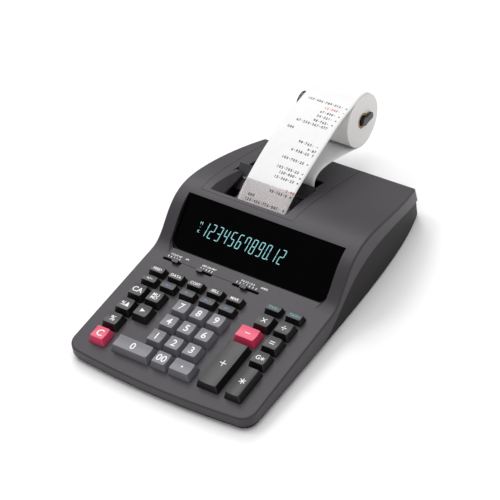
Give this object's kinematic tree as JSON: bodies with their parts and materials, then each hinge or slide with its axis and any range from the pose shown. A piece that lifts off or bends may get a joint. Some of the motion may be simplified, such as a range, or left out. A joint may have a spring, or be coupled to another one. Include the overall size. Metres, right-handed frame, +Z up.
{
  "type": "desk calculator",
  "caption": "Printing desk calculator: sloped display, full keyboard with slide switches, and a paper roll on a rear holder feeding the printer.",
  "frame": {"origin": "on the table, under the centre of the whole object including the paper roll", "axes": "+X to the user's right, +Y away from the user, +Z up"},
  "size_m": [0.216, 0.3938, 0.1051],
  "materials": {
    "case_grey": "fine textured moulding",
    "base_grey": "fine textured moulding, darker",
    "black_key": "satin with dished top",
    "grey_key": "satin with dished top",
    "pink_key": "satin with dished top",
    "window_black": "polished",
    "tube_glass": "clear",
    "frame_plastic": "satin",
    "black_plastic": "satin",
    "holder_black": "satin gloss",
    "platen_rubber": "ground rubber",
    "foot_rubber": "soft rubber",
    "mat_rubber": "silicone",
    "circuit_board": "solder mask",
    "core_iron": "varnished laminations",
    "steel": "zinc plated",
    "paper": "uncoated",
    "core_card": "wound card",
    "smoked_clear": "smoked clear"
  },
  "bodies": {
    "case": {"case_screws": "steel", "cord_inlet": "black_plastic", "display_tube": "tube_glass", "display_window": "window_black", "key_mat": "mat_rubber", "lower_case": "base_grey", "main_board": "circuit_board", "paper_cutter": "smoked_clear", "paper_strip": "paper", "printer_cover": "case_grey", "printer_frame": "frame_plastic", "ribbon_cassette": "black_plastic", "roll_holder": "holder_black", "rubber_feet": "foot_rubber", "transformer": "core_iron", "upper_case": "case_grey"},
    "key_feed": {"key_feed": "black_key"},
    "key_data": {"key_data": "black_key"},
    "key_cost": {"key_cost": "black_key"},
    "key_sell": {"key_sell": "black_key"},
    "key_margin": {"key_margin": "black_key"},
    "key_sign": {"key_sign": "black_key"},
    "key_memory_plus": {"key_memory_plus": "black_key"},
    "key_memory_minus": {"key_memory_minus": "black_key"},
    "key_memory_subtotal": {"key_memory_subtotal": "black_key"},
    "key_memory_total": {"key_memory_total": "black_key"},
    "key_tax_minus": {"key_tax_minus": "black_key"},
    "key_tax_plus": {"key_tax_plus": "black_key"},
    "key_clear_all": {"key_clear_all": "black_key"},
    "key_markup": {"key_markup": "black_key"},
    "key_percent_change": {"key_percent_change": "black_key"},
    "key_backspace": {"key_backspace": "black_key"},
    "key_percent": {"key_percent": "black_key"},
    "key_multiply": {"key_multiply": "black_key"},
    "key_divide": {"key_divide": "black_key"},
    "key_equals": {"key_equals": "black_key"},
    "key_grand_total": {"key_grand_total": "black_key"},
    "key_total": {"key_total": "black_key"},
    "key_plus": {"key_plus": "black_key"},
    "key_0": {"key_0": "grey_key"},
    "key_00": {"key_00": "grey_key"},
    "key_point": {"key_point": "grey_key"},
    "key_1": {"key_1": "grey_key"},
    "key_2": {"key_2": "grey_key"},
    "key_3": {"key_3": "grey_key"},
    "key_4": {"key_4": "grey_key"},
    "key_5": {"key_5": "grey_key"},
    "key_6": {"key_6": "grey_key"},
    "key_7": {"key_7": "grey_key"},
    "key_8": {"key_8": "grey_key"},
    "key_9": {"key_9": "grey_key"},
    "key_clear": {"key_clear": "pink_key"},
    "key_minus": {"key_minus": "pink_key"},
    "switch_rounding": {"switch_rounding": "black_plastic"},
    "switch_print": {"switch_print": "black_plastic"},
    "switch_decimal": {"switch_decimal": "black_plastic"},
    "platen": {"platen_roller": "platen_rubber"},
    "carriage": {"print_carriage": "black_plastic"},
    "roll": {"paper_roll": "paper", "roll_core": "core_card"}
  },
  "joints": [
    {"name": "key_feed_press", "type": "slide", "parent": "case", "child": "key_feed", "axis": [0, -0.0732, 0.9973], "range_m": [-0.003, 0], "stiffness_N_per_m": 280, "springref_m": 0.0015},
    {"name": "key_data_press", "type": "slide", "parent": "case", "child": "key_data", "axis": [0, -0.0732, 0.9973], "range_m": [-0.003, 0], "stiffness_N_per_m": 280, "springref_m": 0.0015},
    {"name": "key_cost_press", "type": "slide", "parent": "case", "child": "key_cost", "axis": [0, -0.0732, 0.9973], "range_m": [-0.003, 0], "stiffness_N_per_m": 280, "springref_m": 0.0015},
    {"name": "key_sell_press", "type": "slide", "parent": "case", "child": "key_sell", "axis": [0, -0.0732, 0.9973], "range_m": [-0.003, 0], "stiffness_N_per_m": 280, "springref_m": 0.0015},
    {"name": "key_margin_press", "type": "slide", "parent": "case", "child": "key_margin", "axis": [0, -0.0732, 0.9973], "range_m": [-0.003, 0], "stiffness_N_per_m": 280, "springref_m": 0.0015},
    {"name": "key_sign_press", "type": "slide", "parent": "case", "child": "key_sign", "axis": [0, -0.0732, 0.9973], "range_m": [-0.003, 0], "stiffness_N_per_m": 280, "springref_m": 0.0015},
    {"name": "key_memory_plus_press", "type": "slide", "parent": "case", "child": "key_memory_plus", "axis": [0, -0.0732, 0.9973], "range_m": [-0.003, 0], "stiffness_N_per_m": 280, "springref_m": 0.0015},
    {"name": "key_memory_minus_press", "type": "slide", "parent": "case", "child": "key_memory_minus", "axis": [0, -0.0732, 0.9973], "range_m": [-0.003, 0], "stiffness_N_per_m": 280, "springref_m": 0.0015},
    {"name": "key_memory_subtotal_press", "type": "slide", "parent": "case", "child": "key_memory_subtotal", "axis": [0, -0.0732, 0.9973], "range_m": [-0.003, 0], "stiffness_N_per_m": 280, "springref_m": 0.0015},
    {"name": "key_memory_total_press", "type": "slide", "parent": "case", "child": "key_memory_total", "axis": [0, -0.0732, 0.9973], "range_m": [-0.003, 0], "stiffness_N_per_m": 280, "springref_m": 0.0015},
    {"name": "key_tax_minus_press", "type": "slide", "parent": "case", "child": "key_tax_minus", "axis": [0, -0.0732, 0.9973], "range_m": [-0.003, 0], "stiffness_N_per_m": 280, "springref_m": 0.0015},
    {"name": "key_tax_plus_press", "type": "slide", "parent": "case", "child": "key_tax_plus", "axis": [0, -0.0732, 0.9973], "range_m": [-0.003, 0], "stiffness_N_per_m": 280, "springref_m": 0.0015},
    {"name": "key_clear_all_press", "type": "slide", "parent": "case", "child": "key_clear_all", "axis": [0, -0.0732, 0.9973], "range_m": [-0.003, 0], "stiffness_N_per_m": 280, "springref_m": 0.0015},
    {"name": "key_markup_press", "type": "slide", "parent": "case", "child": "key_markup", "axis": [0, -0.0732, 0.9973], "range_m": [-0.003, 0], "stiffness_N_per_m": 280, "springref_m": 0.0015},
    {"name": "key_percent_change_press", "type": "slide", "parent": "case", "child": "key_percent_change", "axis": [0, -0.0732, 0.9973], "range_m": [-0.003, 0], "stiffness_N_per_m": 280, "springref_m": 0.0015},
    {"name": "key_backspace_press", "type": "slide", "parent": "case", "child": "key_backspace", "axis": [0, -0.0732, 0.9973], "range_m": [-0.003, 0], "stiffness_N_per_m": 280, "springref_m": 0.0015},
    {"name": "key_percent_press", "type": "slide", "parent": "case", "child": "key_percent", "axis": [0, -0.0732, 0.9973], "range_m": [-0.003, 0], "stiffness_N_per_m": 280, "springref_m": 0.0015},
    {"name": "key_multiply_press", "type": "slide", "parent": "case", "child": "key_multiply", "axis": [0, -0.0732, 0.9973], "range_m": [-0.003, 0], "stiffness_N_per_m": 280, "springref_m": 0.0015},
    {"name": "key_divide_press", "type": "slide", "parent": "case", "child": "key_divide", "axis": [0, -0.0732, 0.9973], "range_m": [-0.003, 0], "stiffness_N_per_m": 280, "springref_m": 0.0015},
    {"name": "key_equals_press", "type": "slide", "parent": "case", "child": "key_equals", "axis": [0, -0.0732, 0.9973], "range_m": [-0.003, 0], "stiffness_N_per_m": 280, "springref_m": 0.0015},
    {"name": "key_grand_total_press", "type": "slide", "parent": "case", "child": "key_grand_total", "axis": [0, -0.0732, 0.9973], "range_m": [-0.003, 0], "stiffness_N_per_m": 280, "springref_m": 0.0015},
    {"name": "key_total_press", "type": "slide", "parent": "case", "child": "key_total", "axis": [0, -0.0732, 0.9973], "range_m": [-0.003, 0], "stiffness_N_per_m": 280, "springref_m": 0.0015},
    {"name": "key_plus_press", "type": "slide", "parent": "case", "child": "key_plus", "axis": [0, -0.0732, 0.9973], "range_m": [-0.003, 0], "stiffness_N_per_m": 280, "springref_m": 0.0015},
    {"name": "key_0_press", "type": "slide", "parent": "case", "child": "key_0", "axis": [0, -0.0732, 0.9973], "range_m": [-0.003, 0], "stiffness_N_per_m": 280, "springref_m": 0.0015},
    {"name": "key_00_press", "type": "slide", "parent": "case", "child": "key_00", "axis": [0, -0.0732, 0.9973], "range_m": [-0.003, 0], "stiffness_N_per_m": 280, "springref_m": 0.0015},
    {"name": "key_point_press", "type": "slide", "parent": "case", "child": "key_point", "axis": [0, -0.0732, 0.9973], "range_m": [-0.003, 0], "stiffness_N_per_m": 280, "springref_m": 0.0015},
    {"name": "key_1_press", "type": "slide", "parent": "case", "child": "key_1", "axis": [0, -0.0732, 0.9973], "range_m": [-0.003, 0], "stiffness_N_per_m": 280, "springref_m": 0.0015},
    {"name": "key_2_press", "type": "slide", "parent": "case", "child": "key_2", "axis": [0, -0.0732, 0.9973], "range_m": [-0.003, 0], "stiffness_N_per_m": 280, "springref_m": 0.0015},
    {"name": "key_3_press", "type": "slide", "parent": "case", "child": "key_3", "axis": [0, -0.0732, 0.9973], "range_m": [-0.003, 0], "stiffness_N_per_m": 280, "springref_m": 0.0015},
    {"name": "key_4_press", "type": "slide", "parent": "case", "child": "key_4", "axis": [0, -0.0732, 0.9973], "range_m": [-0.003, 0], "stiffness_N_per_m": 280, "springref_m": 0.0015},
    {"name": "key_5_press", "type": "slide", "parent": "case", "child": "key_5", "axis": [0, -0.0732, 0.9973], "range_m": [-0.003, 0], "stiffness_N_per_m": 280, "springref_m": 0.0015},
    {"name": "key_6_press", "type": "slide", "parent": "case", "child": "key_6", "axis": [0, -0.0732, 0.9973], "range_m": [-0.003, 0], "stiffness_N_per_m": 280, "springref_m": 0.0015},
    {"name": "key_7_press", "type": "slide", "parent": "case", "child": "key_7", "axis": [0, -0.0732, 0.9973], "range_m": [-0.003, 0], "stiffness_N_per_m": 280, "springref_m": 0.0015},
    {"name": "key_8_press", "type": "slide", "parent": "case", "child": "key_8", "axis": [0, -0.0732, 0.9973], "range_m": [-0.003, 0], "stiffness_N_per_m": 280, "springref_m": 0.0015},
    {"name": "key_9_press", "type": "slide", "parent": "case", "child": "key_9", "axis": [0, -0.0732, 0.9973], "range_m": [-0.003, 0], "stiffness_N_per_m": 280, "springref_m": 0.0015},
    {"name": "key_clear_press", "type": "slide", "parent": "case", "child": "key_clear", "axis": [0, -0.0732, 0.9973], "range_m": [-0.003, 0], "stiffness_N_per_m": 280, "springref_m": 0.0015},
    {"name": "key_minus_press", "type": "slide", "parent": "case", "child": "key_minus", "axis": [0, -0.0732, 0.9973], "range_m": [-0.003, 0], "stiffness_N_per_m": 280, "springref_m": 0.0015},
    {"name": "switch_rounding_slide", "type": "slide", "parent": "case", "child": "switch_rounding", "axis": [1, 0, 0], "range_m": [-0.0129, 0.0026]},
    {"name": "switch_print_slide", "type": "slide", "parent": "case", "child": "switch_print", "axis": [1, 0, 0], "range_m": [-0.0017, 0.0103]},
    {"name": "switch_decimal_slide", "type": "slide", "parent": "case", "child": "switch_decimal", "axis": [1, 0, 0], "range_m": [-0.0108, 0.0137]},
    {"name": "platen_spin", "type": "hinge", "parent": "case", "child": "platen", "pos_m": [-0.01675, 0.0131, 0.048], "axis": [1, 0, 0], "continuous": true},
    {"name": "roll_spin", "type": "hinge", "parent": "case", "child": "roll", "pos_m": [-0.01675, 0.1681, 0.0754], "axis": [1, 0, 0], "continuous": true},
    {"name": "carriage_slide", "type": "slide", "parent": "case", "child": "carriage", "axis": [1, 0, 0], "range_m": [-0.024, 0.024]}
  ],
  "couplings": [
    {"joint": "platen_spin", "follows": "roll_spin", "ratio": 3.7647}
  ]
}
